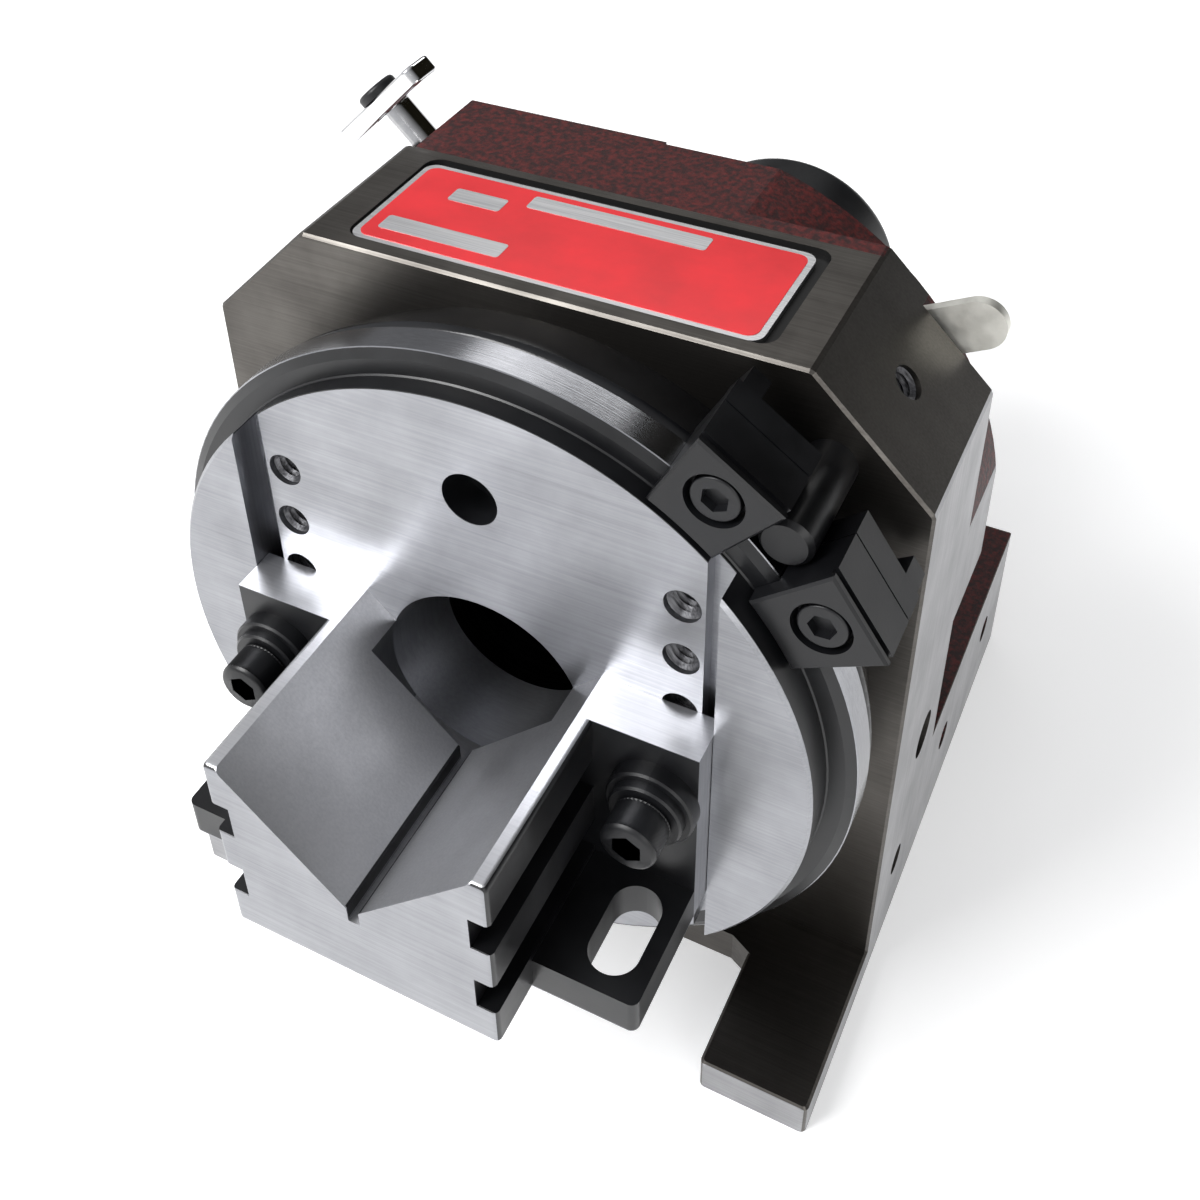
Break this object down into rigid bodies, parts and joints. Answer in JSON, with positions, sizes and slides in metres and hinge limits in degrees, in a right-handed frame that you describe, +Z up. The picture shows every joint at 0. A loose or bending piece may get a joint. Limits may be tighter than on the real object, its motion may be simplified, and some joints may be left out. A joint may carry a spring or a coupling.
{
  "type": "collet index fixture",
  "caption": "Upright fixture with an indexing collet spindle, drilled faceplate, vee block, rim stop dogs, index plunger, latch lever and hollow drawbar.",
  "frame": {"origin": "on the underside of the base, below the spindle axis, in the plane of the front plate", "axes": "+Z up, +Y to the back along the spindle axis, +X to the right seen from the front"},
  "size_m": [0.1399, 0.194, 0.1495],
  "materials": {
    "cast_and_ground": "ground faces, the rest in dark red wrinkle paint",
    "name_plate": "printed aluminium",
    "black_oxide": "black oxide",
    "bronze": "turned",
    "steel": "turned",
    "ground_steel": "ground",
    "chrome": "polished"
  },
  "bodies": {
    "housing_group": {"housing": "cast_and_ground", "name_plate": "name_plate", "dust_ring": "black_oxide", "front_bush": "bronze", "rear_bush": "bronze", "stop_pin": "black_oxide", "plunger_bush": "steel", "plunger_cap": "steel", "plunger_spring": "steel", "lever_pin": "steel"},
    "spindle_group": {"spindle": "ground_steel", "collet_key": "steel", "faceplate": "ground_steel", "faceplate_screws": "black_oxide", "index_plate": "ground_steel", "spindle_nut": "black_oxide", "vee_block": "ground_steel", "clamp_screws": "black_oxide", "thick_washers": "black_oxide", "thin_washers": "black_oxide"},
    "drawbar": {"draw_tube": "steel", "handwheel": "black_oxide", "handwheel_screw": "black_oxide"},
    "upper_dog": {"upper_dog_front": "black_oxide", "upper_dog_rear": "black_oxide", "upper_dog_screw": "black_oxide"},
    "lower_dog": {"lower_dog_front": "black_oxide", "lower_dog_rear": "black_oxide", "lower_dog_screw": "black_oxide"},
    "plunger": {"plunger_stem": "chrome", "plunger_screw": "black_oxide"},
    "plunger_handle": {"plunger_bar": "chrome"},
    "lever": {"latch_lever": "chrome", "lever_shoe": "bronze"}
  },
  "joints": [
    {"name": "spindle_turn", "type": "hinge", "parent": "housing_group", "child": "spindle_group", "pos_m": [0, 0, 0.0772], "axis": [0, 1, 0], "continuous": true},
    {"name": "drawbar_turn", "type": "hinge", "parent": "spindle_group", "child": "drawbar", "pos_m": [0, 0.06, 0.0772], "axis": [0, 1, 0], "continuous": true},
    {"name": "upper_dog_slide", "type": "hinge", "parent": "housing_group", "child": "upper_dog", "pos_m": [0, -0.017, 0.0772], "axis": [0, 1, 0], "range_deg": [-180, 0]},
    {"name": "lower_dog_slide", "type": "hinge", "parent": "housing_group", "child": "lower_dog", "pos_m": [0, -0.017, 0.0772], "axis": [0, 1, 0], "range_deg": [0, 88]},
    {"name": "plunger_slide", "type": "slide", "parent": "housing_group", "child": "plunger", "axis": [-0.7071, 0, 0.7071], "range_m": [-0.008, 0]},
    {"name": "bar_twist", "type": "hinge", "parent": "plunger", "child": "plunger_handle", "pos_m": [-0.0611, 0.052, 0.1383], "axis": [-0.7071, 0, 0.7071], "range_deg": [0, 90]},
    {"name": "lever_swing", "type": "hinge", "parent": "housing_group", "child": "lever", "pos_m": [0.03, 0.037, 0.1148], "axis": [0, 1, 0], "range_deg": [0, 14]}
  ]
}
